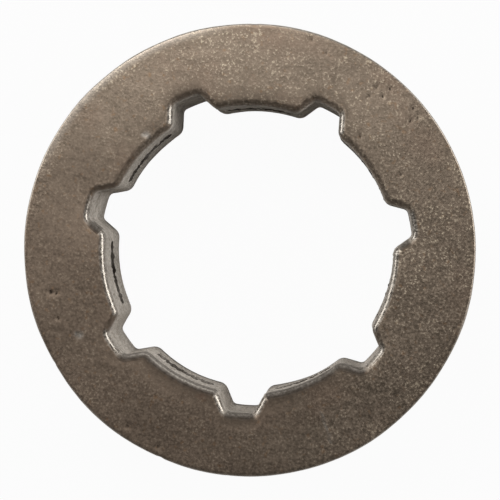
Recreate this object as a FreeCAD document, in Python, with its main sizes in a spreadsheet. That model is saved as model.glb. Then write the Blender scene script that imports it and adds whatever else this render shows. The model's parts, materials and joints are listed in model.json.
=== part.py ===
"""A chainsaw rim sprocket: one steel casting, built as a parametric document.

The rim is a ring that floats on the splined hub of a clutch drum. Two flat flanges carry the side
links of the chain on their outer rims. Between the flanges, seven teeth stand in a groove, and the
gaps between the teeth are the drive pockets that take the tangs of the drive links. Each pocket
runs inwards until it breaks through the face of a spline lobe as a narrow slit, where chips fall out.

The ring lies on its back face, at z = 0, with its axis on +Z. A drive pocket is centred on +X, and
the notches of the spline stand half a pitch to each side of it.
"""

import FreeCAD
import Part
import Sketcher
import math
import os

# Driving dimensions: millimetres, degrees, and one plain count
SIZES = {
    "spline_count": 7,
    "minor_diameter": 22.1,
    "notch_depth": 1.5,
    "notch_floor_width": 2.1,
    "notch_flank_angle": 25.0,
    "lobe_corner_radius": 0.65,
    "bore_edge_radius": 0.5,
    "web_thickness": 3.25,
    "groove_depth": 1.5,
    "groove_flare": 0.5,
    "groove_ledge": 0.6,
    "groove_edge_break": 0.25,
    "rail_width": 2.9,
    "outer_edge_break": 0.2,
    "slit_land": 0.65,
    "pocket_width": 2.0,
    "pocket_corner_radius": 0.6,
    "tooth_top": 5.4,
    "tooth_tip_break": 0.3,
}

# Radii from the bore outwards, as expressions on those cells
MINOR_RADIUS = "(Sizes.minor_diameter / 2)"
NOTCH_RADIUS = f"({MINOR_RADIUS} + Sizes.notch_depth)"
TOOTH_RADIUS = f"({NOTCH_RADIUS} + Sizes.web_thickness)"
OUTER_RADIUS = f"({TOOTH_RADIUS} + Sizes.groove_depth)"

# Widths along the axis: half a pocket, the ledge beside it, the flare of the groove, then a rail
FLOOR_HALF = "(Sizes.pocket_width / 2 + Sizes.groove_ledge)"
GROOVE_HALF = f"({FLOOR_HALF} + Sizes.groove_flare)"
MID_HEIGHT = f"({GROOVE_HALF} + Sizes.rail_width)"
RIM_WIDTH = f"(2 * {MID_HEIGHT})"

# Round the ring: half a pitch, half a notch where it meets the lobes, half a lobe, half a tooth
HALF_PITCH = "(180 deg / Sizes.spline_count)"
FLOOR_REACH = f"sqrt({NOTCH_RADIUS}^2 - (Sizes.notch_floor_width / 2)^2)"
FLANK_OFFSET = (
    "(Sizes.notch_floor_width / 2 * cos(Sizes.notch_flank_angle)"
    f" + {FLOOR_REACH} * sin(Sizes.notch_flank_angle))"
)
NOTCH_HALF_ANGLE = f"(asin({FLANK_OFFSET} / {MINOR_RADIUS}) - Sizes.notch_flank_angle * 1 deg)"
LOBE_HALF = f"({MINOR_RADIUS} * sin({HALF_PITCH} - {NOTCH_HALF_ANGLE}))"
TOOTH_HALF_ANGLE = f"asin(Sizes.tooth_top / 2 / {TOOTH_RADIUS})"

# A pocket's side wall, from the end of its slit on the lobe face to the edge of the tooth top, and the
# bevel of the tooth's tip, about midway between the two
SLIT_HALF = f"({LOBE_HALF} - Sizes.slit_land)"
SLIT_ACROSS = f"sqrt({MINOR_RADIUS}^2 - {SLIT_HALF}^2)"
MOUTH_HALF = f"({TOOTH_RADIUS} * sin({HALF_PITCH} - {TOOTH_HALF_ANGLE}))"
MOUTH_ACROSS = f"({TOOTH_RADIUS} * cos({HALF_PITCH} - {TOOTH_HALF_ANGLE}))"
WALL_SLOPE = f"(({MOUTH_HALF} - {SLIT_HALF}) / ({MOUTH_ACROSS} - {SLIT_ACROSS}))"
BEVEL_SLOPE = f"tan(45 deg + {HALF_PITCH} / 2)"

# The largest share of its wall, or of the corner it runs round, that a rounding may take
WALL_SHARE = 0.45
CORNER_SHARE = 0.9
SAME_PLACE = 1e-4

# Each of these takes material off the one before it
CUTTING_ORDER = ("TurnedBlank", "SplineNotch", "DrivePocket", "SplinePattern")


def make_sizes(doc):
    """The spreadsheet of driving dimensions, one named cell for each."""
    sheet = doc.addObject("Spreadsheet::Sheet", "Sizes")
    for row, (name, value) in enumerate(SIZES.items(), start=1):
        sheet.set(f"A{row}", name)
        sheet.set(f"B{row}", str(value))
        sheet.setAlias(f"B{row}", name)
    doc.recompute()
    return sheet


def value_of(item, expression):
    """What an expression on the sizes comes to, as a plain number."""
    found = item.evalExpression(expression)
    return float(getattr(found, "Value", found))


def origin_feature(body, role):
    """One of the body's own origin planes or axes, by its role."""
    return next(f for f in body.Origin.OriginFeatures if f.Role == role)


def new_sketch(body, name, plane):
    """An empty sketch on one of the body's origin planes."""
    sketch = body.newObject("Sketcher::SketchObject", name)
    sketch.AttachmentSupport = [(origin_feature(body, plane), "")]
    sketch.MapMode = "FlatFace"
    return sketch


def turn_half_pitch(sketch, axis):
    """Turns a sketch about an axis of its own, onto the middle of a spline notch."""
    start = FreeCAD.Rotation(axis, 1.0)
    sketch.AttachmentOffset = FreeCAD.Placement(FreeCAD.Vector(), start)
    sketch.setExpression("AttachmentOffset.Rotation.Angle", HALF_PITCH)


def dimension(sketch, expression, *what):
    """Adds one dimension to the sketch and binds it to the sizes."""
    start = value_of(sketch, expression)
    index = sketch.addConstraint(Sketcher.Constraint(*what, start))
    sketch.setExpression(f"Constraints[{index}]", expression)


def place_point(sketch, edge, end, across, up):
    """Dimensions one end of an edge from the sketch's origin."""
    dimension(sketch, across, "DistanceX", -1, 1, edge, end)
    dimension(sketch, up, "DistanceY", -1, 1, edge, end)


def closed_outline(sketch, edges):
    """Adds the edges and joins the end of each to the start of the next."""
    for edge in edges:
        sketch.addGeometry(edge, False)
    for index in range(len(edges)):
        following = (index + 1) % len(edges)
        sketch.addConstraint(Sketcher.Constraint("Coincident", index, 2, following, 1))


def draw_polygon(sketch, corners):
    """Straight edges round a closed row of corners, each given as an (across, up) pair of expressions."""
    points = [FreeCAD.Vector(value_of(sketch, across), value_of(sketch, up), 0) for across, up in corners]
    following = points[1:] + points[:1]
    closed_outline(sketch, [Part.LineSegment(a, b) for a, b in zip(points, following)])
    for edge, (across, up) in enumerate(corners):
        place_point(sketch, edge, 1, across, up)


def turned_blank(body):
    """The ring before its spline is cut: rails, chain groove and plain bore, as one turned section."""
    flare_rise = "Sizes.groove_edge_break * Sizes.groove_flare / Sizes.groove_depth"
    lower_half = [
        (MINOR_RADIUS, "0"),
        (f"{OUTER_RADIUS} - Sizes.outer_edge_break", "0"),
        (OUTER_RADIUS, "Sizes.outer_edge_break"),
        (OUTER_RADIUS, "(Sizes.rail_width - Sizes.groove_edge_break)"),
        (f"{OUTER_RADIUS} - Sizes.groove_edge_break", f"(Sizes.rail_width + {flare_rise})"),
        (TOOTH_RADIUS, "(Sizes.rail_width + Sizes.groove_flare)"),
    ]
    upper_half = [(across, f"{RIM_WIDTH} - {up}") for across, up in reversed(lower_half)]
    sketch = new_sketch(body, "RimSection", "XZ_Plane")
    turn_half_pitch(sketch, FreeCAD.Vector(0, 1, 0))
    draw_polygon(sketch, lower_half + upper_half)
    blank = body.newObject("PartDesign::Revolution", "TurnedBlank")
    blank.Profile = sketch
    blank.ReferenceAxis = (sketch, ["V_Axis"])
    blank.Angle = 360
    return blank


def spline_notch(body, sheet):
    """One notch of the spline: a concentric floor and two flanks that open towards the bore."""
    floor_half = value_of(sheet, "Sizes.notch_floor_width / 2")
    floor_radius = value_of(sheet, NOTCH_RADIUS)
    floor_across = value_of(sheet, FLOOR_REACH)
    open_across = f"({MINOR_RADIUS} - Sizes.notch_depth)"
    spread = f"({FLOOR_REACH} - {open_across}) * tan(Sizes.notch_flank_angle)"
    open_half = f"(Sizes.notch_floor_width / 2 + {spread})"
    mouth = FreeCAD.Vector(value_of(sheet, open_across), value_of(sheet, open_half), 0)
    low_mouth = FreeCAD.Vector(mouth.x, -mouth.y, 0)
    floor_end = FreeCAD.Vector(floor_across, floor_half, 0)
    low_floor_end = FreeCAD.Vector(floor_across, -floor_half, 0)
    circle = Part.Circle(FreeCAD.Vector(), FreeCAD.Vector(0, 0, 1), floor_radius)
    half_angle = math.asin(floor_half / floor_radius)

    sketch = new_sketch(body, "NotchOutline", "XY_Plane")
    turn_half_pitch(sketch, FreeCAD.Vector(0, 0, 1))
    low_flank, floor, flank = 0, 1, 2
    closed_outline(
        sketch,
        [
            Part.LineSegment(low_mouth, low_floor_end),
            Part.ArcOfCircle(circle, -half_angle, half_angle),
            Part.LineSegment(floor_end, mouth),
            Part.LineSegment(mouth, low_mouth),
        ],
    )
    sketch.addConstraint(Sketcher.Constraint("Coincident", floor, 3, -1, 1))
    sketch.addConstraint(Sketcher.Constraint("Symmetric", floor, 1, floor, 2, -1))
    sketch.addConstraint(Sketcher.Constraint("Symmetric", low_flank, 1, flank, 2, -1))
    dimension(sketch, NOTCH_RADIUS, "Radius", floor)
    dimension(sketch, "Sizes.notch_floor_width", "DistanceY", floor, 1, floor, 2)
    place_point(sketch, flank, 2, open_across, open_half)

    notch = body.newObject("PartDesign::Pocket", "SplineNotch")
    notch.Profile = sketch
    notch.Type = "ThroughAll"
    notch.Reversed = True
    return notch


def drive_pocket(body):
    """The gap between two teeth, seen along the axis.

    Its walls close in from the groove to the slit, and the outline runs out past both. Beside the tooth
    top each wall turns out into the bevel of the tooth's tip.
    """
    inner = f"({MINOR_RADIUS} - Sizes.notch_depth / 2)"
    inner_half = f"({SLIT_HALF} - {WALL_SLOPE} * ({SLIT_ACROSS} - {inner}))"
    tip = f"({MOUTH_ACROSS} - Sizes.tooth_tip_break)"
    tip_half = f"({MOUTH_HALF} - {WALL_SLOPE} * Sizes.tooth_tip_break)"
    outer = f"({TOOTH_RADIUS} + Sizes.groove_depth / 2)"
    outer_half = f"({tip_half} + {BEVEL_SLOPE} * ({outer} - {tip}))"
    upper_half = [(outer, outer_half), (tip, tip_half), (inner, inner_half)]
    lower_half = [(across, f"-{up}") for across, up in reversed(upper_half)]
    sketch = new_sketch(body, "PocketOutline", "XY_Plane")
    sketch.setExpression("AttachmentOffset.Base.z", MID_HEIGHT)
    draw_polygon(sketch, lower_half + upper_half)
    pocket = body.newObject("PartDesign::Pocket", "DrivePocket")
    pocket.Profile = sketch
    pocket.SideType = "Symmetric"
    pocket.Type = "Length"
    pocket.setExpression("Length", "Sizes.pocket_width")
    return pocket


def round_the_ring(body, features):
    """Repeats the notch and the drive pocket once for each spline."""
    pattern = body.newObject("PartDesign::PolarPattern", "SplinePattern")
    pattern.Originals = features
    pattern.Axis = (origin_feature(body, "Z_Axis"), [""])
    pattern.Angle = 360
    pattern.setExpression("Occurrences", "Sizes.spline_count")
    body.Tip = pattern
    return pattern


def edge_names(feature, wanted):
    """The names of the feature's edges that a test accepts."""
    return [f"Edge{i}" for i, edge in enumerate(feature.Shape.Edges, start=1) if wanted(edge)]


def points_on(edge, count=7):
    """A few points spread along an edge."""
    return edge.discretize(Number=count)


def on_radius(edge, radius):
    """True where the whole edge keeps one distance from the axis."""
    return all(abs(math.hypot(p.x, p.y) - radius) < SAME_PLACE for p in points_on(edge))


def at_height(edge, height):
    """True where the whole edge lies at one height."""
    return all(abs(p.z - height) < SAME_PLACE for p in points_on(edge))


def stands(edge, height):
    """True for an edge along the axis, as tall as the height given."""
    rise = points_on(edge)[-1] - points_on(edge)[0]
    return math.hypot(rise.x, rise.y) < SAME_PLACE and abs(abs(rise.z) - height) < SAME_PLACE


def starts_on_radius(edge, radius):
    """True where one end of the edge, and no more of it, is at that distance from the axis."""
    nearest = min(math.hypot(p.x, p.y) for p in points_on(edge))
    return abs(nearest - radius) < SAME_PLACE and not on_radius(edge, radius)


def rounded(body, name, wanted, radius):
    """Rounds the edges of the body's last feature that a test accepts."""
    base = body.Tip
    names = edge_names(base, wanted)
    if not names:
        raise RuntimeError(f"{name}: no edge was found to round")
    fillet = body.newObject("PartDesign::Fillet", name)
    fillet.Base = (base, names)
    fillet.setExpression("Radius", radius)
    body.Document.recompute()
    print(f"{name}: {len(names)} edges")
    return fillet


def soften_edges(body, sheet):
    """The roundings of the casting: the lobes' corners, the pockets' corners, and the rims of the bore."""
    minor = value_of(sheet, MINOR_RADIUS)
    face_radius = value_of(sheet, f"{OUTER_RADIUS} - Sizes.outer_edge_break")
    width = value_of(sheet, RIM_WIDTH)
    pocket_low = value_of(sheet, f"{MID_HEIGHT} - Sizes.pocket_width / 2")
    pocket_high = value_of(sheet, f"{MID_HEIGHT} + Sizes.pocket_width / 2")
    flank = f"{WALL_SHARE} * Sizes.notch_depth"
    lobe_corner = f"min(Sizes.lobe_corner_radius; {flank}; {WALL_SHARE} * {LOBE_HALF})"
    pocket_corner = f"min(Sizes.pocket_corner_radius; {WALL_SHARE} * Sizes.pocket_width)"
    bore_edge = f"min(Sizes.bore_edge_radius; {CORNER_SHARE} * {lobe_corner})"

    def on_lobe_corner(edge):
        return stands(edge, width) and on_radius(edge, minor)

    def on_pocket_wall(edge):
        level = at_height(edge, pocket_low) or at_height(edge, pocket_high)
        return level and starts_on_radius(edge, minor)

    def on_bore_rim(edge):
        on_face = at_height(edge, 0) or at_height(edge, width)
        return on_face and not on_radius(edge, face_radius)

    rounded(body, "LobeCorners", on_lobe_corner, lobe_corner)
    rounded(body, "PocketCorners", on_pocket_wall, pocket_corner)
    rounded(body, "BoreEdges", on_bore_rim, bore_edge)


def check(doc, body):
    """Stops the build where a feature failed, a cut missed, or the casting isn't one valid solid."""
    for item in doc.Objects:
        if "Invalid" in item.State or "Error" in item.State:
            raise RuntimeError(f"{item.Name} failed: {item.State}")
    for earlier, later in zip(CUTTING_ORDER, CUTTING_ORDER[1:]):
        if doc.getObject(later).Shape.Volume >= doc.getObject(earlier).Shape.Volume:
            raise RuntimeError(f"{later} cut nothing")
    shape = body.Shape
    if shape.isNull() or not shape.isValid() or len(shape.Solids) != 1:
        raise RuntimeError(f"{body.Label} is not one valid solid")


def main():
    doc = FreeCAD.newDocument("RimSprocket")
    sheet = make_sizes(doc)
    body = doc.addObject("PartDesign::Body", "Sprocket")
    body.Label = "rim_sprocket"
    turned_blank(body)
    doc.recompute()
    notch = spline_notch(body, sheet)
    doc.recompute()
    pocket = drive_pocket(body)
    doc.recompute()
    round_the_ring(body, [notch, pocket])
    doc.recompute()
    soften_edges(body, sheet)
    doc.recompute()
    check(doc, body)
    os.makedirs("parts", exist_ok=True)
    body.Shape.exportStep(f"parts/{body.Label}.step")
    box = body.Shape.optimalBoundingBox()
    print(f"{body.Label}: {box.XLength:.2f} x {box.YLength:.2f} x {box.ZLength:.2f} mm")
    print(f"volume {body.Shape.Volume:.1f} mm3")


main()
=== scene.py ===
# %% [markdown]
# # A chainsaw rim sprocket on a white table
#
# The part is a small steel ring, cast in one piece. It floats on the splined hub of a saw's clutch drum,
# and the saw chain runs in the groove round its outside. This lesson loads the ring as the CAD model
# made it, replaces its smooth skin with a cast one, and lights it as a product picture is lit.

# %% Load the frame
import json
import math

import bpy
import numpy as np
from mathutils import Matrix, Vector


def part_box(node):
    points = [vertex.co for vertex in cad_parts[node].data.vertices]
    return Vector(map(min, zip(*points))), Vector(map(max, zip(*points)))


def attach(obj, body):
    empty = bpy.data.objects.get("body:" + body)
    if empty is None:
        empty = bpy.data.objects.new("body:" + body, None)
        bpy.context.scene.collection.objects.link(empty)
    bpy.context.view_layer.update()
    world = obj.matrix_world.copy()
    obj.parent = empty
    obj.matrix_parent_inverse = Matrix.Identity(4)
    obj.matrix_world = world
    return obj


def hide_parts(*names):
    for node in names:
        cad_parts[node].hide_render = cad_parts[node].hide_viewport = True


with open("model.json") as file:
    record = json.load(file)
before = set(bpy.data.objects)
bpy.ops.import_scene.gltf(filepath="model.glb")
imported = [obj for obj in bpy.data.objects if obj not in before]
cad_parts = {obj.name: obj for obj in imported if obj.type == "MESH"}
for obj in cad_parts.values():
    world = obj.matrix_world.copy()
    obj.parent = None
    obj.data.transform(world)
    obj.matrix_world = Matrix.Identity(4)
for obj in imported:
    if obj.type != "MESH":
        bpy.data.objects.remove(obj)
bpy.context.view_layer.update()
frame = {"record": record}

NODE = "rim_sprocket"

# %% [markdown]
# ## The sizes
#
# The overall sizes come from the frame, so the new skin lies where the CAD solid lies. The rest are
# the sizes that a caliper would find on the bench, in millimetres. The skin rounds two corners that the
# CAD model leaves sharp: the corners of the spline notches and the lips of the slits. It also gives the
# lobes a wider corner and the rim a finer edge.

# %% Sizes in millimetres
MM = 0.001
low, high = (np.array(corner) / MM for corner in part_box(NODE))
mounts = {mount["name"]: mount for mount in frame["record"]["mounts"]}

OUTER_RADIUS = (high - low)[:2].max() / 2
HALF_WIDTH = (high - low)[2] / 2
LOBE_RADIUS = mounts["spline_bore"]["dims"]["r_mm"]
SPLINES = 7
HALF_PITCH = math.pi / SPLINES

NOTCH_DEPTH = 1.5
NOTCH_FLOOR = 2.1
FLANK_ANGLE = math.radians(25.0)
LOBE_CORNER = 0.85
NOTCH_CORNER = 0.45
BORE_EDGE = 0.5
RIM_EDGE = 0.17

RAIL = 2.9
GROOVE_DEPTH = 1.5
GROOVE_FLARE = 0.5
GROOVE_EDGE = 0.25
GROOVE_ROOT = 0.12

POCKET_HALF = 1.0
POCKET_CORNER = 0.6
TOOTH_TOP = 5.4
TIP_BREAK = 0.3
SLIT_LAND = 0.65
SLIT_LIP = 0.06

NOTCH_RADIUS = LOBE_RADIUS + NOTCH_DEPTH
TOOTH_RADIUS = OUTER_RADIUS - GROOVE_DEPTH
print(f"ring {2 * OUTER_RADIUS:.2f} mm across, {2 * HALF_WIDTH:.2f} mm wide, bore {2 * LOBE_RADIUS:.2f} mm")

# %% [markdown]
# ## The outline of the bore
#
# Seven lobes and seven notches go round the bore, and each half of one mirrors the other half. So the
# whole outline is one short curve, from the middle of a lobe to the middle of the next notch: an arc,
# the lobe's corner, the straight flank, the notch's corner, and the arc of the notch's floor. A spline
# through points would wobble on the arcs. Five exact pieces, joined where they share a tangent, don't.


# %% The five pieces of the outline
def unit(angle):
    """The direction that lies at an angle from the lobe's middle: its cosine and sine."""
    return np.stack([np.cos(angle), np.sin(angle)], axis=-1)


floor_reach = math.sqrt(NOTCH_RADIUS**2 - (NOTCH_FLOOR / 2) ** 2)
flank_offset = NOTCH_FLOOR / 2 * math.cos(FLANK_ANGLE) + floor_reach * math.sin(FLANK_ANGLE)
lobe_centre_radius = LOBE_RADIUS + LOBE_CORNER
notch_centre_radius = NOTCH_RADIUS - NOTCH_CORNER
lobe_end = HALF_PITCH + FLANK_ANGLE - math.asin((flank_offset + LOBE_CORNER) / lobe_centre_radius)
floor_start = HALF_PITCH + FLANK_ANGLE - math.asin((flank_offset - NOTCH_CORNER) / notch_centre_radius)
flank_normal = HALF_PITCH + FLANK_ANGLE - math.pi / 2

lobe_centre = lobe_centre_radius * unit(lobe_end)
notch_centre = notch_centre_radius * unit(floor_start)
flank_start = lobe_centre - LOBE_CORNER * unit(flank_normal)
flank_end = notch_centre + NOTCH_CORNER * unit(flank_normal)

AXIS = np.zeros(2)
ARC_CENTRES = np.array([AXIS, lobe_centre, flank_start, notch_centre, AXIS])
ARC_REACHES = np.array([LOBE_RADIUS, -LOBE_CORNER, 0.0, NOTCH_CORNER, NOTCH_RADIUS])
FIRST_NORMALS = np.array([0.0, lobe_end, flank_normal, flank_normal, floor_start])
LAST_NORMALS = np.array([lobe_end, flank_normal, flank_normal, floor_start, HALF_PITCH])
IS_STRAIGHT = np.array([0.0, 0.0, 1.0, 0.0, 0.0])
flank_length = np.linalg.norm(flank_end - flank_start)
PIECE_LENGTHS = ARC_REACHES * (LAST_NORMALS - FIRST_NORMALS) + IS_STRAIGHT * flank_length
PIECE_ENDS = np.cumsum(PIECE_LENGTHS)


def bore_outline(distance):
    """Points of the outline and their normals into the steel, by the distance from the lobe's middle.

    On an arc, the normal turns evenly, and the point is the arc's centre plus its reach times the normal.
    On the flank, the normal holds still and the point moves square to it.
    """
    piece = np.minimum(np.searchsorted(PIECE_ENDS, distance), len(PIECE_ENDS) - 1)
    along = distance - (PIECE_ENDS - PIECE_LENGTHS)[piece]
    turn = (LAST_NORMALS - FIRST_NORMALS)[piece] * along / PIECE_LENGTHS[piece]
    normal = unit(FIRST_NORMALS[piece] + turn)
    forward = np.stack([-normal[..., 1], normal[..., 0]], axis=-1)
    straight = (IS_STRAIGHT[piece] * along)[..., None] * forward
    return ARC_CENTRES[piece] + ARC_REACHES[piece][..., None] * normal + straight, normal


print("outline pieces, mm:", np.round(PIECE_LENGTHS, 3))

# %% [markdown]
# ## The drive pocket
#
# Between two teeth a pocket takes the tang of the chain's drive link. It starts wide in the chain groove,
# closes in, and breaks through the face of a lobe as a narrow slit. In section it is a rectangle with
# round corners. Its two ends open out in small quarter rounds, so the light catches them softly.


# %% Stations along the pocket
def spread(first, last, count):
    """Even steps from one value to another, without the first."""
    return np.linspace(first, last, count + 1)[1:]


def quarter(count):
    """Even steps of angle through a quarter turn, without the first."""
    return spread(0.0, math.pi / 2, count)


LOBE_HALF = LOBE_RADIUS * math.sin(HALF_PITCH + FLANK_ANGLE - math.asin(flank_offset / LOBE_RADIUS))
SLIT_HALF = LOBE_HALF - SLIT_LAND
MOUTH_HALF = TOOTH_RADIUS * math.sin(HALF_PITCH - math.asin(TOOTH_TOP / 2 / TOOTH_RADIUS))
POCKET_LENGTH = TOOTH_RADIUS - LOBE_RADIUS
ROOF_COLUMNS, CORNER_COLUMNS = 21, 5
MOUTH_STEPS, POCKET_STEPS, LIP_STEPS = 3, 5, 3

mouth_depths = TIP_BREAK * (1 - np.cos(quarter(MOUTH_STEPS)))
lip_depths = POCKET_LENGTH - SLIT_LIP * (1 - np.cos(quarter(LIP_STEPS)))
middle_depths = spread(TIP_BREAK, POCKET_LENGTH - SLIT_LIP, POCKET_STEPS)
depths = np.concatenate([[0.0], mouth_depths, middle_depths, lip_depths[-2::-1], [POCKET_LENGTH]])


def round_over(distance, radius):
    """How far a quarter round of that radius stands back from its wall, by the distance from its face."""
    inside = np.clip(1 - distance / radius, 0.0, 1.0)
    return radius * (1 - np.sqrt(1 - inside**2))


def pocket_surface():
    """A quarter of the pocket's wall: rows from mouth to slit, columns from its middle round a corner.

    The half width falls evenly with depth. Both ends grow by a quarter round. The columns run along the
    flat roof, then round the corner, and each point slides between the tooth's and the lobe's cylinder.
    """
    part = depths / POCKET_LENGTH
    mouth_flare = round_over(depths, TIP_BREAK)
    lip_flare = round_over(POCKET_LENGTH - depths, SLIT_LIP)
    half_width = MOUTH_HALF + (SLIT_HALF - MOUTH_HALF) * part + mouth_flare + lip_flare
    half_height = POCKET_HALF + SLIT_LIP / TIP_BREAK * mouth_flare + lip_flare
    corner = POCKET_CORNER + half_height - POCKET_HALF
    roof = np.linspace(0.0, 1.0, ROOF_COLUMNS + 1)
    turn = quarter(CORNER_COLUMNS)
    roof_across = np.outer(half_width - corner, roof)
    corner_across = (half_width - corner)[:, None] + np.outer(corner, np.sin(turn))
    roof_up = np.outer(half_height, np.ones_like(roof))
    corner_up = (half_height - corner)[:, None] + np.outer(corner, np.cos(turn))
    across = np.concatenate([roof_across, corner_across], axis=1)
    up = np.concatenate([roof_up, corner_up], axis=1)
    tooth_side = np.sqrt(TOOTH_RADIUS**2 - across**2)
    lobe_side = np.sqrt(LOBE_RADIUS**2 - across**2)
    out = tooth_side + (lobe_side - tooth_side) * part[:, None]
    return np.stack([out, across, up], axis=-1)


pocket = pocket_surface()
mouth, slit = pocket[0], pocket[-1]
print(f"pocket: mouth {2 * mouth[-1, 1]:.2f} mm, slit {2 * slit[-1, 1]:.2f} x {2 * slit[0, 2]:.2f} mm")

# %% [markdown]
# ## The skin of one cell
#
# A cell is half a pitch of the upper half of the ring. Its columns run out from the bore and its rows run
# round the section: up the bore wall, over the rounded edge, across the face, over the rim, down the rail
# and into the groove. Columns beside the pocket go on through it and close in a loop. Columns beside the
# tooth end at mid height. A boolean cut would leave long thin triangles there that can't be bent into a
# cast surface; a grid keeps its squares.

# %% Columns of the cell
LAND_COLUMNS = [2, 5, 4, 3, 4]
land_starts = np.concatenate([[LOBE_RADIUS * math.asin(slit[-1, 1] / LOBE_RADIUS)], PIECE_ENDS[:-1]])
slit_distances = LOBE_RADIUS * np.arcsin(slit[:, 1] / LOBE_RADIUS)
land_distances = np.concatenate([spread(a, b, n) for a, b, n in zip(land_starts, PIECE_ENDS, LAND_COLUMNS)])
bore_points, bore_normals = bore_outline(np.concatenate([slit_distances, land_distances]))

mouth_angles = np.arcsin(mouth[:, 1] / TOOTH_RADIUS)
rim_angles = np.concatenate([mouth_angles, spread(mouth_angles[-1], HALF_PITCH, sum(LAND_COLUMNS))])
rim_directions = unit(rim_angles)
LOOP = len(slit)
wall_foot = np.concatenate([slit[:, 2], np.full(sum(LAND_COLUMNS), slit[-1, 2])])
ledge_foot = np.concatenate([mouth[:, 2], np.full(sum(LAND_COLUMNS), mouth[-1, 2])])
print("columns:", LOOP - 1, "round the pocket,", sum(LAND_COLUMNS), "on the land")


# %% Rows of the cell
WALL_ROWS, EDGE_ROWS, FACE_ROWS, RIM_ROWS, RAIL_ROWS = 16, 5, 28, 4, 6
GROOVE_EDGE_ROWS, FLANK_ROWS, ROOT_ROWS, LEDGE_ROWS, FOOT_ROWS = 3, 3, 2, 2, 2


def lift(plan, heights):
    """Puts plan points at their heights: the two arrays side by side, as x, y and z."""
    plan, heights = np.broadcast_arrays(plan, np.asarray(heights)[..., None])
    return np.concatenate([plan, heights[..., :1]], axis=-1)


def bend(start, corner, end, count):
    """A smooth bend round a corner: the parabola that touches both its legs, without its first point."""
    t = spread(0.0, 1.0, count)[:, None]
    return (1 - t) ** 2 * start + 2 * t * (1 - t) * corner + t**2 * end


def rim_profile():
    """Radius and height of the rows that every column shares: rim edge, rail, groove edge, flank, root."""
    turn = quarter(RIM_ROWS)
    groove_half = HALF_WIDTH - RAIL
    floor_half = groove_half - GROOVE_FLARE
    slope = GROOVE_FLARE / GROOVE_DEPTH
    edge = OUTER_RADIUS - RIM_EDGE + RIM_EDGE * np.sin(turn)
    edge_height = HALF_WIDTH - RIM_EDGE + RIM_EDGE * np.cos(turn)
    rail = spread(HALF_WIDTH - RIM_EDGE, groove_half + GROOVE_EDGE, RAIL_ROWS)
    rail_foot = np.array([OUTER_RADIUS, groove_half + GROOVE_EDGE])
    flank_top = np.array([OUTER_RADIUS - GROOVE_EDGE, groove_half - slope * GROOVE_EDGE])
    flank_foot = np.array([TOOTH_RADIUS + GROOVE_ROOT, floor_half + slope * GROOVE_ROOT])
    floor_edge = np.array([TOOTH_RADIUS, floor_half - GROOVE_ROOT])
    return np.concatenate(
        [
            np.stack([edge, edge_height], axis=-1),
            np.stack([np.full_like(rail, OUTER_RADIUS), rail], axis=-1),
            bend(rail_foot, np.array([OUTER_RADIUS, groove_half]), flank_top, GROOVE_EDGE_ROWS),
            flank_top + np.outer(spread(0.0, 1.0, FLANK_ROWS), flank_foot - flank_top),
            bend(flank_foot, np.array([TOOTH_RADIUS, floor_half]), floor_edge, ROOT_ROWS),
        ]
    )


def section_rows():
    """Every column's rows from the foot of the bore wall to the foot of the ledge in the groove.

    The wall rises straight. The bore's edge is a quarter circle that moves along the outline's normal. On
    the face, points go in even steps from that edge to the rim, and the rim's rows are turned rings.
    """
    share = np.linspace(0.0, 1.0, WALL_ROWS + 1)[:, None]
    wall = lift(bore_points, wall_foot + (HALF_WIDTH - BORE_EDGE - wall_foot) * share)
    turn = quarter(EDGE_ROWS)[:, None]
    inset = BORE_EDGE * (1 - np.cos(turn))[..., None]
    rise = HALF_WIDTH - BORE_EDGE + BORE_EDGE * np.sin(turn)
    edge = lift(bore_points + inset * bore_normals, rise)
    face_start = bore_points + BORE_EDGE * bore_normals
    face_end = (OUTER_RADIUS - RIM_EDGE) * rim_directions
    across = spread(0.0, 1.0, FACE_ROWS)[:, None, None]
    face = lift(face_start + across * (face_end - face_start), HALF_WIDTH)
    profile = rim_profile()
    rim = lift(profile[:, 0, None, None] * rim_directions, profile[:, 1, None])
    down = spread(0.0, 1.0, LEDGE_ROWS)[:, None]
    ledge = lift(TOOTH_RADIUS * rim_directions, profile[-1, 1] + (ledge_foot - profile[-1, 1]) * down)
    return np.concatenate([wall, edge, face, rim, ledge])


section = section_rows()
loop_grid = np.concatenate([section[:, :LOOP], pocket[1:]])
up_to_foot = np.linspace(0.0, 1.0, FOOT_ROWS + 1)[:-1, None]
bore_foot = lift(bore_points[LOOP - 1 :], slit[-1, 2] * up_to_foot)
tooth_foot = lift(TOOTH_RADIUS * rim_directions[LOOP - 1 :], mouth[-1, 2] * up_to_foot[::-1])
land_grid = np.concatenate([bore_foot, section[:, LOOP - 1 :], tooth_foot])
end_heights = pocket[:, -1, 2, None] * np.linspace(1.0, 0.0, FOOT_ROWS + 1)
end_wall = lift(pocket[:, -1, None, :2], end_heights)
print("grids:", loop_grid.shape[:2], land_grid.shape[:2], end_wall.shape[:2])

# %% [markdown]
# ## From one cell to the whole ring
#
# The cell is mirrored across the lobe and across mid height, and the four pieces are turned seven times.
# A mirrored copy is inside out, so its faces are listed in reverse. Copies share points along their
# borders. Those points are merged, and then every edge of the skin belongs to exactly two faces.


# %% Copy, turn and weld
SAME_PLACE = 1e-5


def grid_faces(rows, columns, first):
    """The squares of a grid of points that is stored row by row from a first index."""
    corner = first + np.arange(rows - 1)[:, None] * columns + np.arange(columns - 1)
    return np.stack([corner, corner + columns, corner + columns + 1, corner + 1], axis=-1).reshape(-1, 4)


def join_grids(grids):
    """One list of points and squares from several grids."""
    firsts = np.cumsum([0] + [grid.shape[0] * grid.shape[1] for grid in grids[:-1]])
    faces = [grid_faces(*grid.shape[:2], first) for grid, first in zip(grids, firsts)]
    return np.concatenate([grid.reshape(-1, 3) for grid in grids]), np.concatenate(faces)


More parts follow.
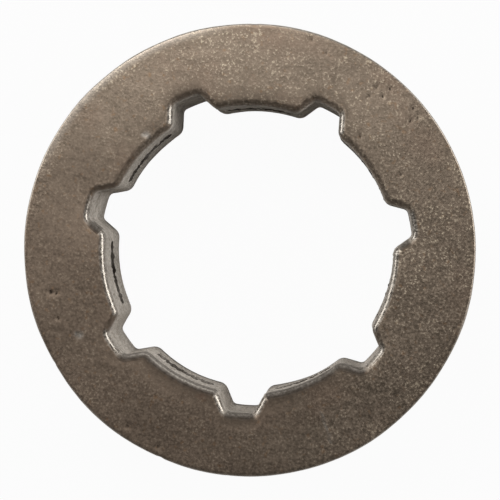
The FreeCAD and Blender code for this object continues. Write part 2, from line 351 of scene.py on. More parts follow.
def whole_ring(points, faces):
    """Mirrors the cell twice, turns it once for each spline, and merges the points that coincide.

    It also says which point of the cell each point of the ring came from.
    """
    all_points, all_faces = [], []
    for across in (1, -1):
        for upright in (1, -1):
            mirrored = points * np.array([1, across, upright])
            wound = faces if across * upright > 0 else faces[:, ::-1]
            for spline in range(SPLINES):
                turn = 2 * HALF_PITCH * spline
                c, s = math.cos(turn), math.sin(turn)
                all_faces.append(wound + len(points) * len(all_points))
                all_points.append(mirrored @ np.array([[c, s, 0], [-s, c, 0], [0, 0, 1]]))
    stacked = np.concatenate(all_points)
    keys = np.round(stacked / SAME_PLACE).astype(np.int64)
    _, kept, merged = np.unique(keys, axis=0, return_index=True, return_inverse=True)
    joined = merged.reshape(-1)[np.concatenate(all_faces)]
    return stacked[kept] + [0, 0, HALF_WIDTH], joined, kept % len(points)


def edge_use(faces):
    """How many faces meet at each edge, as a sorted list of the counts that occur."""
    edges = np.sort(np.stack([faces, np.roll(faces, -1, axis=1)], axis=-1).reshape(-1, 2), axis=1)
    return np.unique(np.unique(edges, axis=0, return_counts=True)[1])


cell_points, cell_faces = join_grids([loop_grid, land_grid, end_wall])
ring, ring_faces, source = whole_ring(cell_points, cell_faces)
print(len(ring), "points,", 2 * len(ring_faces), "triangles, faces per edge:", edge_use(ring_faces))

# %% [markdown]
# ## The cast skin
#
# Steel poured into a fine ceramic mould comes out nearly smooth, but never flat: the faces wave a little,
# the skin has a pebbled grain, and gas leaves small pits. A displacement modifier would move every point
# of every surface by one texture. Here each effect is a formula on the points themselves, so that edges
# can be rougher than faces, and a pit can be put where the real ring has one.


# %% Normals, waves and dents
rng = np.random.default_rng(20)


def normals_of(points, faces):
    """Each point's normal: the area-weighted sum of the normals of its faces, made one unit long."""
    a, b, c, d = (points[faces[:, corner]] for corner in range(4))
    total = np.zeros_like(points)
    np.add.at(total, faces.reshape(-1), np.repeat(np.cross(c - a, d - b), 4, axis=0))
    return total / np.linalg.norm(total, axis=1, keepdims=True)


def ripple(points, shortest, longest, count):
    """A rough surface with a spread of one: many plane waves in random directions, added together."""
    directions = rng.normal(size=(count, 3))
    directions /= np.linalg.norm(directions, axis=1, keepdims=True)
    lengths = rng.uniform(shortest, longest, size=(count, 1))
    phases = rng.uniform(0, 2 * math.pi, size=count)
    return math.sqrt(2 / count) * np.cos(points @ (2 * math.pi * directions / lengths).T + phases).sum(axis=1)


def dents(points, centres, radii):
    """The deepest of many round dents, each a bell curve of the distance from its centre."""
    squares = (points**2).sum(1)[:, None] + (centres**2).sum(1) - 2 * points @ centres.T
    return np.exp(-np.maximum(squares, 0) / radii**2).max(axis=1)


facing = normals_of(ring, ring_faces)
from_axis = np.hypot(ring[:, 0], ring[:, 1])
print(f"points lie {from_axis.min():.2f} to {from_axis.max():.2f} mm from the axis")

# %% [markdown]
# Places on the front are named as the picture shows them: an angle in degrees, from its right side towards
# its top, and a distance from the axis. The pits that stand out in the picture are put where they are. All
# the rest of the ring gets its pits at random, the more the larger a surface is.


# %% Pits
PICTURE_TURN = math.radians(16.07)
FRONT_HEIGHT = 2 * HALF_WIDTH


def side(picture_angle):
    """The flat direction that lies at an angle in the picture, in degrees."""
    return unit(np.radians(picture_angle) + PICTURE_TURN)


def on_front(picture_angles, distances):
    """Points of the front face, by the angle in the picture in degrees and the distance from the axis."""
    plan = np.asarray(distances)[:, None] * side(picture_angles)
    return np.column_stack([plan, np.full(len(plan), FRONT_HEIGHT)])


# Picture angle in degrees, distance from the axis, radius: the pits that stand out on the front face
SEEN_PITS = [
    (191.9, 15.5, 0.22),
    (192.6, 15.1, 0.14),
    (199.6, 15.5, 0.16),
    (235.4, 16.4, 0.18),
    (245.3, 16.6, 0.16),
    (73.4, 16.8, 0.14),
    (68.5, 16.2, 0.12),
    (51.7, 15.8, 0.12),
    (48.6, 16.3, 0.12),
    (48.9, 15.5, 0.1),
    (51.9, 14.9, 0.1),
    (45.5, 12.2, 0.12),
    (38.5, 15.7, 0.12),
    (38.1, 16.4, 0.12),
    (40.7, 16.5, 0.1),
    (26.3, 13.0, 0.12),
]
HIDDEN_PITS = 150
HIDDEN_RADII = (0.1, 0.18)

corners = ring[ring_faces]
areas = np.linalg.norm(np.cross(corners[:, 2] - corners[:, 0], corners[:, 3] - corners[:, 1]), axis=1)
areas[corners[:, :, 2].min(axis=1) > FRONT_HEIGHT - SAME_PLACE] = 0
chosen = rng.choice(len(ring_faces), HIDDEN_PITS, p=areas / areas.sum())
seen_angles, seen_distances, seen_radii = np.array(SEEN_PITS).T
pit_centres = np.concatenate([corners[chosen].mean(axis=1), on_front(seen_angles, seen_distances)])
pit_radii = np.concatenate([rng.uniform(*HIDDEN_RADII, HIDDEN_PITS), seen_radii])
pits = dents(ring, pit_centres, pit_radii)
print(HIDDEN_PITS, "hidden pits,", len(SEEN_PITS), "placed pits, points inside one:", int((pits > 0.5).sum()))

# %% [markdown]
# ## Wear, dirt, painted highlights and painted shade
#
# Wear, dirt, painted highlights and painted shade here depend on what a place is and on the side that it
# faces. Noise would spread them evenly. The rows of the grid know what they are, so here each effect is one
# value for every row, times a value for the side: the cosine of the angle between that side and the way that
# a point faces.

# %% Values by row and by side
EDGE_START = WALL_ROWS + 1
RIM_START = EDGE_START + EDGE_ROWS + FACE_ROWS
GROOVE_START = RIM_START + RIM_ROWS + RAIL_ROWS
TO_RIGHT, TO_TOP = 0.0, 90.0


def rows_from(first, *values):
    """Values for the section's rows from a first row on, and nought for the rows before and after them."""
    given = np.concatenate(values)
    return np.pad(given, (first, len(section) - first - len(given)))


def on_ring(row_values, in_pocket=0.0):
    """One value for every point of the ring, from one for every row of the section.

    The feet of the walls go on with the value of the row beside them, and the pockets have their own.
    """
    loop = np.repeat(np.concatenate([row_values, np.full(len(pocket) - 1, in_pocket)]), LOOP)
    land = np.repeat(np.pad(row_values, FOOT_ROWS, mode="edge"), land_grid.shape[1])
    return np.concatenate([loop, land, np.full(end_wall[..., 0].size, in_pocket)])[source]


def towards(vectors, picture_angle):
    """How far vectors point to a side of the picture: the cosine of the angle between them, seen flat."""
    flat = vectors[:, :2]
    return flat @ side(picture_angle) / (np.linalg.norm(flat, axis=1) + SAME_PLACE)


def ease(values, low, high):
    """Rises smoothly from nought at a low value to one at a high one: 3t^2 - 2t^3."""
    t = np.clip((values - low) / (high - low), 0.0, 1.0)
    return t * t * (3 - 2 * t)


bore_turn, rim_turn = quarter(EDGE_ROWS), quarter(RIM_ROWS)
sideways = np.abs(towards(facing, TO_RIGHT))
upward = towards(facing, TO_TOP)
print("rows:", EDGE_START, "on the wall,", len(section) - GROOVE_START, "in the groove, of", len(section))

# %% [markdown]
# Rounded edges are rubbed bright, and carry a painted highlight. In the bore the worn band is the sine of
# twice the turn, strongest half way round. It shows on edges that face sideways, towards the side lamps, or a
# little up, and edges that face down stay brown. The rim is rubbed a little all round, with a painted
# highlight most at the top, and one lobe at the lower left has a faint painted highlight line.

# %% Rubbed edges and painted highlights
WEAR_AND_HIGHLIGHT_SIDEWAYS = (0.55, 0.85)
WEAR_AND_HIGHLIGHT_UPWARD = (-0.45, -0.2)
RIM_HIGHLIGHT_SIDE = 100.0
RIM_HIGHLIGHT_RANGE = (0.15, 0.6)
RIM_LEAST = 0.45
HIGHLIGHT_LOBE = 240.0
HIGHLIGHT_LOBE_RANGE = (0.94, 0.98)
LINE_TURN, LINE_SPREAD = 0.63, 0.25

# Worn bore edges, with a painted highlight on those that face the side lamps.
wear_and_highlight = on_ring(rows_from(EDGE_START, np.sin(2 * bore_turn)))
wear_and_highlight *= ease(sideways, *WEAR_AND_HIGHLIGHT_SIDEWAYS) * ease(upward, *WEAR_AND_HIGHLIGHT_UPWARD)
# The rim: rubbed a little all round, and a painted highlight strongest at the top.
rim_band = on_ring(rows_from(RIM_START, np.sin(rim_turn)))
rim_wear_and_highlight = rim_band * (RIM_LEAST + (1 - RIM_LEAST) * ease(towards(facing, RIM_HIGHLIGHT_SIDE), *RIM_HIGHLIGHT_RANGE))
# A painted highlight line on one lobe at the lower left.
line_rows = rows_from(EDGE_START, np.exp(-(((bore_turn - LINE_TURN) / LINE_SPREAD) ** 2)))
lobe_highlight_line = on_ring(line_rows) * ease(towards(ring, HIGHLIGHT_LOBE), *HIGHLIGHT_LOBE_RANGE)
print("worn points:", int((wear_and_highlight > 0.5).sum()), "in the bore,", int((rim_wear_and_highlight > 0.5).sum()), "on the rim")

# %% [markdown]
# The walls of the bore, the pockets and the groove are inside the ring, where the tumbling didn't reach and
# the dull skin of the casting stays. It also stays on edges of the bore that face the top, and a little of
# it on the lower half of the rim.

# %% Where the dull skin stays
GROOVE_SKIN = 0.4
DULL_SIDE = 86.0
DULL_RANGE = (0.66, 0.8)
DULL_POWER = 6
DULL_RIM = 0.25
DULL_RIM_RANGE = (-0.2, 0.5)

wall_rows = rows_from(0, np.ones(EDGE_START), (1 - np.sin(bore_turn)) ** 2)
groove_rows = rows_from(GROOVE_START, np.full(len(section) - GROOVE_START, GROOVE_SKIN))
dull_side = ease(towards(facing, DULL_SIDE), *DULL_RANGE)
dull_edge = on_ring(rows_from(EDGE_START, 1 - np.sin(bore_turn) ** DULL_POWER)) * dull_side
dull_rim = DULL_RIM * rim_band * ease(-upward, *DULL_RIM_RANGE)
inside = np.maximum.reduce([on_ring(wall_rows + groove_rows, 1.0), dull_edge, dull_rim])
print("inside points:", int((inside > 0.5).sum()))

# %% [markdown]
# Dirt stays in the pits, where a cloth doesn't reach, and painted shade darkens the pockets. The dull edges
# are darker, from half way up the wall to the first row of the face. A fainter darker border goes round the
# bore at the top and bottom of the picture, and leaves out edges that face sideways. Waves a few tenths to a
# few millimetres long make the darkening uneven.

# %% Dirt, painted shade and darker edges
POCKET_SHADE, POCKET_SHADE_CHANGE, POCKET_SHADE_LENGTHS = 0.66, 0.05, (1.5, 3.0)
EDGE_CHANGE, EDGE_LENGTHS = 0.03, (0.3, 0.6)
DARKENING_WAVES = 40
WALL_DARKENING, WALL_DARKENING_ROWS = 0.6, (8, 13)
EDGE_DARKENING = [0.69, 0.64, 0.69, 0.71, 0.6, 0.42]
# Under the painted highlight line the darker edge band is lighter.
LINE_LIGHTENS = 0.3
BORDER_DARK, BORDER_PALE, BORDER_ROWS = 0.44, 0.3, 5
BORDER_RANGE = (0.45, 0.8)
UNDARKENED_SIDEWAYS = (0.4, 0.6)

# Painted shade in the pockets and slits, where shade falls.
pocket_shade = on_ring(np.zeros(len(section)), 1.0)
pocket_shade *= POCKET_SHADE + POCKET_SHADE_CHANGE * ripple(ring, *POCKET_SHADE_LENGTHS, DARKENING_WAVES)
# A darker band on the bore edges that face the top of the picture, and up the wall below them.
wall_darkening = WALL_DARKENING * ease(np.arange(EDGE_START), *WALL_DARKENING_ROWS)
dark_edge_band = on_ring(rows_from(0, wall_darkening, EDGE_DARKENING)) * dull_side * (1 - LINE_LIGHTENS * lobe_highlight_line)
dark_edge_band *= 1 + EDGE_CHANGE * ripple(ring, *EDGE_LENGTHS, DARKENING_WAVES)
# A fainter darker border round the bore at the top and bottom of the picture, not on edges that face
# sideways.
border_fade = np.linspace(BORDER_DARK, BORDER_PALE, BORDER_ROWS)
border = on_ring(rows_from(EDGE_START, np.full(EDGE_ROWS, BORDER_DARK), border_fade))
border *= ease(np.abs(towards(ring, TO_TOP)), *BORDER_RANGE) * (1 - ease(sideways, *UNDARKENED_SIDEWAYS))
# Dirt in the pits, painted shade in the pockets, and the darker bands at the bore's edges.
dirt_and_shade = np.maximum.reduce([pits, pocket_shade, border, dark_edge_band])
print("dirty points:", int((dirt_and_shade > 0.5).sum()))

# %% [markdown]
# A few marks of use show on the front: a bright ding on the edge of the bore and one at the left, one long
# scratch, and a spot of rust. Each is a bell curve of the distance, from a point or from the line of the
# scratch. A faint painted highlight band lies along the rim at the upper left. Rubs and painted highlights
# shine alike, so dings, scratch, rim, line and band share one value, the highest at each point.


# %% Marks of use
def scratch(points, start, end, width):
    """A bell curve of the distance from a straight line between two points."""
    along = np.clip((points - start) @ (end - start) / ((end - start) @ (end - start)), 0, 1)
    away = points - start - along[:, None] * (end - start)
    return np.exp(-(away**2).sum(axis=1) / width**2)


# Picture angle in degrees, distance from the axis, radius: the dents of the two dings
DINGS = [(131.5, 11.75, 0.22), (132.4, 11.9, 0.14), (206.8, 14.5, 0.2), (205.9, 14.7, 0.14)]
SCRATCH_ANGLES, SCRATCH_DISTANCES, SCRATCH_WIDTH = [294.2, 293.3], [13.6, 16.0], 0.07
RUST_ANGLE, RUST_DISTANCE, RUST_RADIUS = 252.2, 11.7, 0.45
DING_SHINE, SCRATCH_SHINE, RIM_SHINE, LINE_SHINE, BAND_SHINE = 0.75, 0.35, 0.8, 0.2, 0.25
UPPER_LEFT = 128.0
BAND_RANGE, BAND_DISTANCES = (0.8, 0.97), (16.5, 17.1)
FACE_HEIGHTS = (FRONT_HEIGHT - 0.2, FRONT_HEIGHT - 0.1)

ding_angles, ding_distances, ding_radii = np.array(DINGS).T
dings = dents(ring, on_front(ding_angles, ding_distances), ding_radii)
long_scratch = scratch(ring, *on_front(SCRATCH_ANGLES, SCRATCH_DISTANCES), SCRATCH_WIDTH)
# A painted highlight band on the rim at the upper left.
rim_side = ease(ring[:, 2], *FACE_HEIGHTS) * ease(from_axis, *BAND_DISTANCES)
painted_highlight_band = rim_side * ease(towards(ring, UPPER_LEFT), *BAND_RANGE)
# Rubs from the dings and the scratch, with the painted highlights of rim, lobe line and band: the highest at
# each point.
rubs_and_highlights = np.maximum(DING_SHINE * dings, SCRATCH_SHINE * long_scratch)
rubs_and_highlights = np.maximum.reduce([rubs_and_highlights, RIM_SHINE * rim_wear_and_highlight, LINE_SHINE * lobe_highlight_line, BAND_SHINE * painted_highlight_band])
rust_spot = dents(ring, on_front([RUST_ANGLE], [RUST_DISTANCE]), np.array([RUST_RADIUS]))
print("marks:", len(DINGS), "dents, 1 scratch, 1 rust spot, rubbed points:", int((rubs_and_highlights > 0.2).sum()))

# %% [markdown]
# Small bright flecks cover the faces, where single grains are rubbed, and they are partly painted glints.
# They are strongest at the right and along the rim at the upper left, towards the lamps. They fade out
# towards the lower left, which is a little rustier instead.

# %% Flecks, painted glints and rust by side
FLECK_SIDE, FLECK_RANGE, FLECK_LEAST, FLECK_GAIN = 40.0, (-0.6, 0.6), 0.3, 0.65
RIGHT_RANGE, RIGHT_GAIN = (0.85, 1.0), 0.45
RIM_FLECK_RANGE, RIM_FLECK_DISTANCES, RIM_FLECK_GAIN = (0.6, 0.95), (15.8, 17.1), 0.9
LOWER_LEFT, RUST_RANGE, RUST_GAIN = 215.0, (0.2, 0.9), 0.25

# Painted glints: more flecks on the sides that face the lamps, fewer at the lower left.
scuffs_and_glints = FLECK_LEAST + FLECK_GAIN * ease(towards(ring, FLECK_SIDE), *FLECK_RANGE)
scuffs_and_glints += RIGHT_GAIN * ease(towards(ring, TO_RIGHT), *RIGHT_RANGE)
near_rim = ease(from_axis, *RIM_FLECK_DISTANCES)
scuffs_and_glints += RIM_FLECK_GAIN * near_rim * ease(towards(ring, UPPER_LEFT), *RIM_FLECK_RANGE)
rust = np.maximum(rust_spot, RUST_GAIN * ease(towards(ring, LOWER_LEFT), *RUST_RANGE))
print(f"flecks: {scuffs_and_glints.min():.2f} to {scuffs_and_glints.max():.2f}, rust: up to {rust.max():.2f}")

# %% [markdown]
# Now the skin moves. Each effect has its own height, and the lips of the slits are the most ragged, as
# steel is where it ran thin in the mould.


# %% The skin moves
def rough(height, shortest, longest, count):
    """A ripple of the whole ring, with a height and the lengths of its waves in millimetres."""
    return height * ripple(ring, shortest, longest, count)


# Height, shortest and longest wave, number of waves
WAVES = (0.018, 4.0, 9.0, 40)
GRAIN = (0.0025, 0.5, 1.4, 90)
WORN_EDGE = (0.007, 0.5, 1.0, 60)
SLIT_EDGE = (0.038, 0.25, 0.7, 60)
PIT_DEPTH, DING_DEPTH = 0.07, 0.03
LIP_ABOVE, LIP_BEHIND = 0.3, 0.5

from_lip = (np.abs(ring[:, 2] - HALF_WIDTH) - POCKET_HALF) / LIP_ABOVE
from_lobe = (from_axis - LOBE_RADIUS) / LIP_BEHIND
at_slit = np.exp(-(from_lip**2)) * np.exp(-(from_lobe**2))
lift_off = rough(*WAVES)
lift_off += rough(*GRAIN)
lift_off += wear_and_highlight * rough(*WORN_EDGE)
lift_off += at_slit * rough(*SLIT_EDGE)
lift_off -= PIT_DEPTH * pits + DING_DEPTH * dings
skin = ring + lift_off[:, None] * facing
print(f"skin moved by {lift_off.min():.3f} to {lift_off.max():.3f} mm")

# %% [markdown]
# The points go into a mesh in one call, in metres. Six numbers ride along with each point, so that the
# steel's finish can follow what the point is: worn with painted highlights, inside, dirty with painted shade,
# rubbed with painted highlights, rusty, or scuffed with painted glints.


# %% The ring as an object
def mesh_object(name, points, faces):
    """An object of that name whose mesh has these points and faces, shaded smooth."""
    mesh = bpy.data.meshes.new(name)
    mesh.from_pydata(points, [], faces)
    mesh.shade_smooth()
    made = bpy.data.objects.new(name, mesh)
    bpy.context.scene.collection.objects.link(made)
    return made


def point_values(piece, name, values):
    """Stores one number for each point of the piece, under a name that a material can read."""
    attribute = piece.data.attributes.new(name, "FLOAT", "POINT")
    attribute.data.foreach_set("value", values.astype(np.float32))


cast_ring = mesh_object("cast_ring", skin * MM, ring_faces)
marks = {"wear_and_highlight": wear_and_highlight, "inside": inside, "dirt_and_shade": dirt_and_shade, "rubs_and_highlights": rubs_and_highlights, "rust": rust, "scuffs_and_glints": scuffs_and_glints}
for name, values in marks.items():
    point_values(cast_ring, name, values)
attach(cast_ring, "root")
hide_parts(NODE)
print(cast_ring.name, len(cast_ring.data.polygons), "faces")

# %% [markdown]
# ## The steel's finish
#
# The ring has the brown-grey skin of cast steel that was tumbled and oiled: mottled, a little rusty in
# patches and specks, with bright flecks where single grains are rubbed and painted glints, and dark pits. It
# also carries painted highlights and painted shade. One metal shader gives the gloss. Noise textures on
# Object coordinates give the rest, so the pattern stays with the steel.


# %% Short ways to build a material
def srgb(red, green, blue):
    """A colour as a picture editor names it, 0 to 255, turned into the linear values that Blender uses."""
    parts = np.array([red, green, blue]) / 255
    linear = np.where(parts <= 0.04045, parts / 12.92, ((parts + 0.055) / 1.055) ** 2.4)
    return (*linear, 1.0)


class Nodes:
    """A short way to add nodes to a material and to join them."""

    def __init__(self, tree):
        self.tree = tree
        tree.nodes.clear()

    def add(self, kind, settings=None, **inputs):
        """A new node: its settings, then values or other nodes' outputs for its inputs, by name."""
        made = self.tree.nodes.new(kind)
        for name, value in (settings or {}).items():
            setattr(made, name, value)
        for name, value in inputs.items():
            socket = made.inputs[int(name[1:])] if name[0] == "_" else made.inputs[name.replace("_", " ")]
            if isinstance(value, bpy.types.NodeSocket):
                self.tree.links.new(value, socket)
            else:
                socket.default_value = value
        return made

    def noise(self, where, size, detail, roughness=0.5):
        """Cloudy values round 0.5, whose largest lumps have that size in millimetres."""
        inputs = {"Vector": where, "Scale": 1 / (size * MM), "Detail": detail, "Roughness": roughness}
        return self.add("ShaderNodeTexNoise", **inputs).outputs[0]

    def stretch(self, value, low, high, to_low=0.0, to_high=1.0):
        """Maps the range low to high onto another range, and stops at its ends."""
        made = self.add("ShaderNodeMapRange", _0=value, _1=low, _2=high, _3=to_low, _4=to_high)
        return made.outputs[0]

    def maths(self, operation, *values):
        """One step of arithmetic."""
        inputs = {f"_{place}": value for place, value in enumerate(values)}
        return self.add("ShaderNodeMath", {"operation": operation}, **inputs).outputs[0]

    def blend(self, share, first, second):
        """A colour between two others."""
        return self.add("ShaderNodeMix", {"data_type": "RGBA"}, _0=share, _6=first, _7=second).outputs[2]

    def attribute(self, name):
        """One of the numbers that ride on the piece's points."""
        return self.add("ShaderNodeAttribute", {"attribute_name": name}).outputs["Fac"]


print("numbers that the finish reads:", list(marks))

# %% [markdown]
# The colour is built in two layers. The first is the face: steel, rust, and flecks that are partly painted
# glints. The second lies over it: the dull skin inside, the rubbed edges with painted highlights, and last
# the dirt of the pits, the painted shade of the pockets and the darker edge bands. The same fine grain also
# moves the roughness and the bump, so that a light grain is a raised one.

# %% The steel's colours and the sizes of its pattern
STEEL_DARK = srgb(102, 91, 79)
STEEL_MIDDLE = srgb(117, 104, 91)
STEEL_LIGHT = srgb(130, 116, 102)
RUST = srgb(121, 102, 88)
RUST_SPECK = srgb(128, 100, 74)
# Bright flecks: rubbed grains, and painted glints where they gather on lit sides.
FLECK = srgb(184, 171, 150)
INSIDE_DARK = srgb(138, 131, 122)
INSIDE_LIGHT = srgb(200, 192, 182)
EDGE_GREY = srgb(112, 106, 98)
# Rubbed steel, also the colour of the painted highlights.
RUBBED_AND_HIGHLIGHT = srgb(190, 184, 175)
# Dark colour of dirt in the pits, of painted shade in the pockets, and of the darker bands.
DARK_DIRT_AND_SHADE = srgb(40, 34, 29)

GRAIN_SIZE, SPECK_SIZE, MOTTLE_SIZE, CLUSTER_SIZE, PATCH_SIZE = 0.18, 0.45, 1.5, 2.2, 5.0
MOTTLE_SHARE = 0.35
FACE_METAL = 0.92
ROUGHER = {"inside": 0.4, "wear_and_highlight": -0.18, "dirt_and_shade": 0.2, "rubs_and_highlights": -0.22}
BUMP_HEIGHT = 0.011
SPECULAR = 0.02
print("pattern sizes:", GRAIN_SIZE, "to", PATCH_SIZE, "mm")


# %% The cast steel material
def face_colour(steel, where, tone, grainy, here):
    """The faces: mottled brown-grey, then rust in patches and specks, then clusters of bright flecks and
    painted glints.
    """
    colour = steel.blend(steel.stretch(tone, 0.34, 0.66), STEEL_DARK, STEEL_LIGHT)
    colour = steel.blend(grainy, STEEL_MIDDLE, colour)
    patches = steel.stretch(steel.noise(where, PATCH_SIZE, 4), 0.5, 0.7, 0.0, 0.4)
    colour = steel.blend(steel.maths("MAXIMUM", patches, here["rust"]), colour, RUST)
    specks = steel.stretch(steel.noise(where, SPECK_SIZE, 2), 0.62, 0.74, 0.0, 0.45)
    colour = steel.blend(specks, colour, RUST_SPECK)
    clusters = steel.stretch(steel.noise(where, CLUSTER_SIZE, 2), 0.4, 0.6, 0.3, 1.0)
    # Flecks, partly painted glints, scaled by the side that a place faces.
    flecks = steel.stretch(steel.noise(where, GRAIN_SIZE, 2, 0.7), 0.57, 0.72)
    flecks = steel.maths("MULTIPLY", flecks, clusters)
    return steel.blend(steel.maths("MULTIPLY", flecks, here["scuffs_and_glints"]), colour, FLECK)


def worn_colour(steel, colour, tone, grain, here):
    """What lies over the face's colour: the dull skin inside, grey and rubbed edges with painted highlights,
    and last dark pits, painted shade and darker bands.
    """
    dull_skin = steel.blend(steel.stretch(tone, 0.38, 0.62), INSIDE_DARK, INSIDE_LIGHT)
    colour = steel.blend(here["inside"], colour, dull_skin)
    colour = steel.blend(here["wear_and_highlight"], colour, EDGE_GREY)
    # Rubbed edges, with a painted highlight on the sides that face the lamps.
    edge_rub_and_highlight = steel.maths("MULTIPLY", here["wear_and_highlight"], steel.stretch(grain, 0.42, 0.6, 0.1, 0.55))
    colour = steel.blend(steel.maths("MAXIMUM", edge_rub_and_highlight, here["rubs_and_highlights"]), colour, RUBBED_AND_HIGHLIGHT)
    # Last the dark layer: dirt in the pits, painted shade in the pockets and the darker edge bands.
    return steel.blend(steel.stretch(here["dirt_and_shade"], 0.3, 0.8), colour, DARK_DIRT_AND_SHADE)


def cast_steel():
    """The finish of the whole ring: colour, metal, roughness and bump, which share one mottle and grain."""
    material = bpy.data.materials.new("cast_steel")
    material.use_nodes = True
    steel = Nodes(material.node_tree)
    where = steel.add("ShaderNodeTexCoord").outputs["Object"]
    here = {name: steel.attribute(name) for name in marks}
    grain = steel.noise(where, GRAIN_SIZE, 1, 0.6)
    mottle_part = steel.maths("MULTIPLY", steel.noise(where, MOTTLE_SIZE, 4, 0.6), MOTTLE_SHARE)
    tone = steel.maths("ADD", mottle_part, steel.maths("MULTIPLY", grain, 1 - MOTTLE_SHARE))
    # More grain contrast and bump where flecks and painted glints are strongest.
    grainy = steel.stretch(here["scuffs_and_glints"], 0.3, 0.6, 0.5, 1.05)
    colour = worn_colour(steel, face_colour(steel, where, tone, grainy, here), tone, grain, here)
    metal = steel.stretch(here["inside"], 0.0, 1.0, FACE_METAL, 0.0)
    roughness = steel.stretch(grain, 0.3, 0.7, 0.38, 0.54)
    for name, change in ROUGHER.items():
        roughness = steel.maths("ADD", roughness, steel.maths("MULTIPLY", here[name], change))
    height = steel.maths("MULTIPLY", grain, grainy)
    bump = steel.add("ShaderNodeBump", Strength=1.0, Distance=BUMP_HEIGHT * MM, Height=height).outputs[0]
    inputs = {"Base Color": colour, "Metallic": metal, "Roughness": roughness, "Normal": bump}
    shader = steel.add("ShaderNodeBsdfPrincipled", Specular_IOR_Level=SPECULAR, **inputs).outputs[0]
    steel.add("ShaderNodeOutputMaterial", Surface=shader)
    return material


cast_ring.data.materials.append(cast_steel())
print("material:", cast_ring.data.materials[0].name)

# %% [markdown]
# ## The table
#
# The ring lies on a plain white table. A table lit to pure white would throw too much light up at the
# steel. So camera and mirror-like rays see the table as nearly white by itself, and the rest of what they
# see is real light on it, which keeps the ring's soft shadow. The room is grey, dim overhead and lighter
# towards the horizon.

# %% Floor and world
TABLE_GREY = (0.35, 0.35, 0.35, 1.0)
WHITE = (1.0, 1.0, 1.0, 1.0)
OWN_LIGHT = 0.96
TABLE_HALF, TABLE_HEIGHT = 2.0, -0.00006
ROOM_AROUND, ROOM_ABOVE = 0.25, 0.06
DIM_FROM, DIM_TO = 0.35, 0.75


def seen_directly(nodes):
    """One for camera, glossy and transmission rays, and none for the rest."""
    path = nodes.add("ShaderNodeLightPath").outputs
    seen = nodes.maths("MAXIMUM", path["Is Camera Ray"], path["Is Glossy Ray"])
    return nodes.maths("MAXIMUM", seen, path["Is Transmission Ray"])


def white_table(half_size, height):
    """A flat square at a height, in metres, that takes shadows and looks white."""
    corners = np.array([[-1, -1, 0], [1, -1, 0], [1, 1, 0], [-1, 1, 0]]) * half_size + [0, 0, height]
    table = mesh_object("table", corners, np.array([[0, 1, 2, 3]]))
    material = bpy.data.materials.new("white_table")
    material.use_nodes = True
    nodes = Nodes(material.node_tree)
    share = nodes.maths("MULTIPLY", seen_directly(nodes), OWN_LIGHT)
    lit = nodes.add("ShaderNodeBsdfDiffuse", Color=TABLE_GREY).outputs[0]
    glow = nodes.add("ShaderNodeEmission", Color=WHITE, Strength=1.0).outputs[0]
    mixed = nodes.add("ShaderNodeMixShader", _0=share, _1=lit, _2=glow).outputs[0]
    nodes.add("ShaderNodeOutputMaterial", Surface=mixed)
    table.data.materials.append(material)
    return table


def grey_room():
    """A grey world that is dim overhead and lighter towards the horizon, by the height of the direction."""
    world = bpy.data.worlds.new("grey_room")
    world.use_nodes = True
    nodes = Nodes(world.node_tree)
    direction = nodes.add("ShaderNodeTexCoord").outputs["Generated"]
    height = nodes.add("ShaderNodeSeparateXYZ", Vector=direction).outputs["Z"]
    strength = nodes.stretch(height, DIM_FROM, DIM_TO, ROOM_AROUND, ROOM_ABOVE)
    room = nodes.add("ShaderNodeBackground", Color=WHITE, Strength=strength).outputs[0]
    nodes.add("ShaderNodeOutputWorld", Surface=room)
    return world


table = white_table(TABLE_HALF, TABLE_HEIGHT)
bpy.context.scene.world = grey_room()
print("table at", table.data.vertices[0].co.z, "m")

# %% [markdown]
# ## The light
#
# Soft boxes stand close round the ring, as on a product table. Steel is half a mirror, so the face is bright
# where it mirrors a box or nearly so. A high key light, a small lamp half way to the camera and a low strip
# all stand towards the top, and the face fades from there to the bottom. Two wide boxes at the sides give
# the bright lines along the rounded edges. Nothing stands at the bottom, so edges that face down stay dark.
# A box's place is given as the picture sees it: to the right, up, and towards the camera from the middle
# of the front face.

# %% Soft boxes
RIGHT = Vector((math.cos(PICTURE_TURN), math.sin(PICTURE_TURN), 0.0))
UP = Vector((-math.sin(PICTURE_TURN), math.cos(PICTURE_TURN), 0.0))
FRONT = Vector((0.0, 0.0, FRONT_HEIGHT * MM))

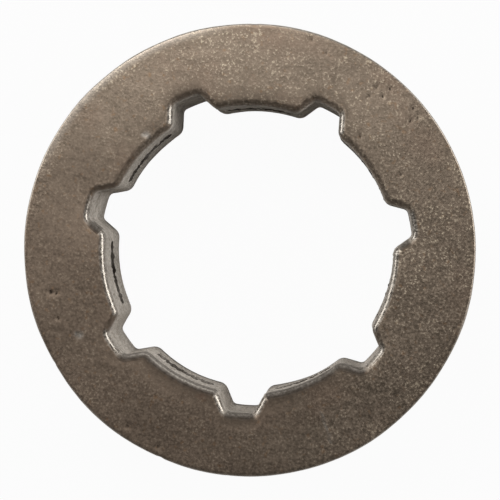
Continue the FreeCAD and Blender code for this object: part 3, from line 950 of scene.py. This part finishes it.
# Name, place, width and height in millimetres, brightness
SOFT_BOXES = [
    ("key_light", (-34, 82, 150), 60, 60, 12.0),
    ("near_lamp", (5, 28, 90), 30, 30, 2.2),
    ("low_strip", (-16, 52, 40), 75, 30, 1.5),
    ("left_box", (-110, 42, 50), 85, 50, 5.5),
    ("right_box", (113, 32, 55), 110, 60, 6.3),
]


def from_picture(right, up, near):
    """A place in metres, from millimetres right, up and towards the camera from the ring's front."""
    return FRONT + MM * (right * RIGHT + up * UP + near * Vector((0.0, 0.0, 1.0)))


def soft_box(name, place, width, height, brightness):
    """A rectangle of light that faces the ring. Its power is brightness times area times pi."""
    lamp = bpy.data.lights.new(name, "AREA")
    lamp.shape = "RECTANGLE"
    lamp.size = width * MM
    lamp.size_y = height * MM
    lamp.energy = brightness * math.pi * lamp.size * lamp.size_y
    box = bpy.data.objects.new(name, lamp)
    box.location = from_picture(*place)
    box.rotation_euler = (FRONT - box.location).to_track_quat("-Z", "Y").to_euler()
    bpy.context.scene.collection.objects.link(box)
    return box


lamps = [soft_box(*values) for values in SOFT_BOXES]
print("lamps:", [lamp.name for lamp in lamps])

# %% [markdown]
# ## The camera
#
# The picture was taken from close by, about a hand's length away, and a little from the right: the bore
# walls show on the left and hide on the right. The place and the lens come from the outlines of the rim and
# the bore in the picture: the far end of the bore is smaller than the near one by what that distance gives.

# %% Camera
CAMERA_PLACE = (10.96, 1.61, 180.1)
CAMERA_AIM = (0.12, 0.01, 0.0)
LENS, SENSOR = 170.2, 36.0
NEAREST = 0.005

camera = bpy.data.cameras.new("camera")
camera.lens = LENS
camera.sensor_width = SENSOR
camera.clip_start = NEAREST
eye = bpy.data.objects.new("camera", camera)
ahead = (from_picture(*CAMERA_AIM) - from_picture(*CAMERA_PLACE)).normalized()
across = ahead.cross(UP).normalized()
axes = Matrix((across, across.cross(ahead), -ahead)).transposed()
eye.matrix_world = Matrix.Translation(from_picture(*CAMERA_PLACE)) @ axes.to_4x4()
bpy.context.scene.collection.objects.link(eye)
bpy.context.scene.camera = eye
bpy.context.scene.view_settings.view_transform = "Standard"
print("camera at", [round(value, 4) for value in eye.location])
